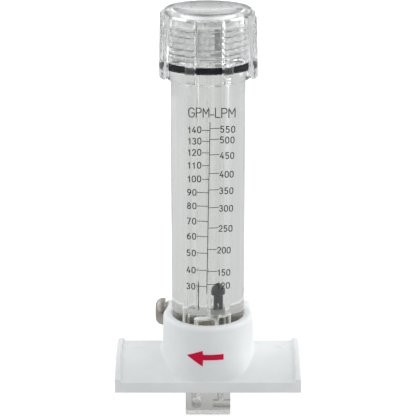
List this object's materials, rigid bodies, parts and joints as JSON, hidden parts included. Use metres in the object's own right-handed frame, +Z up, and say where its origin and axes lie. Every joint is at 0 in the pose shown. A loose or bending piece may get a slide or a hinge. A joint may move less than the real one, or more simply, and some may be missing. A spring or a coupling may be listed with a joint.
{
  "type": "insertion rotameter",
  "caption": "Clear upright flow meter with a printed scale and a small float, on a white arched saddle strapped to a pipe; a flat pitot stem reaches down and a ribbed cap screws on top.",
  "frame": {"origin": "crown of the saddle's concave underside, where the pipe's top line touches, on the axis of the clear body", "axes": "+Z up along the clear body, X along the pipe with flow towards -X, -Y towards the reader"},
  "size_m": [0.0812, 0.045, 0.1838],
  "materials": {
    "white_plastic": "satin moulded",
    "clear_acrylic": "polished clear",
    "stem_acrylic": "machined clear",
    "cap_plastic": "moulded clear",
    "rubber": "matte",
    "gasket_rubber": "matte",
    "stainless": "bright",
    "brass": "knurled, dull",
    "float_plastic": "matte",
    "seat_plastic": "natural translucent"
  },
  "bodies": {
    "housing": {"saddle": "white_plastic", "meter_body": "clear_acrylic", "pitot_stem": "stem_acrylic", "body_insert": "brass", "stem_stud": "stainless", "impact_seal": "rubber", "static_seal": "rubber", "stem_seal": "rubber", "pipe_gasket": "gasket_rubber", "retaining_screw": "stainless", "retaining_nut": "stainless", "float_seat": "seat_plastic", "float_stop": "seat_plastic"},
    "float_body": {"float": "float_plastic"},
    "seal_body": {"cap_seal": "rubber"},
    "cap_body": {"screw_cap": "cap_plastic"}
  },
  "joints": [
    {"name": "float_rise", "type": "slide", "parent": "housing", "child": "float_body", "axis": [0, 0, 1], "range_m": [0, 0.098]},
    {"name": "cap_lift", "type": "slide", "parent": "housing", "child": "seal_body", "axis": [0, 0, 1], "range_m": [0, 0.0128]},
    {"name": "cap_turn", "type": "hinge", "parent": "seal_body", "child": "cap_body", "pos_m": [0, 0, 0.14], "axis": [0, 0, 1], "range_deg": [0, 1800]}
  ],
  "couplings": [
    {"joint": "cap_lift", "follows": "cap_turn", "m_per_rad": 0.00040425}
  ]
}
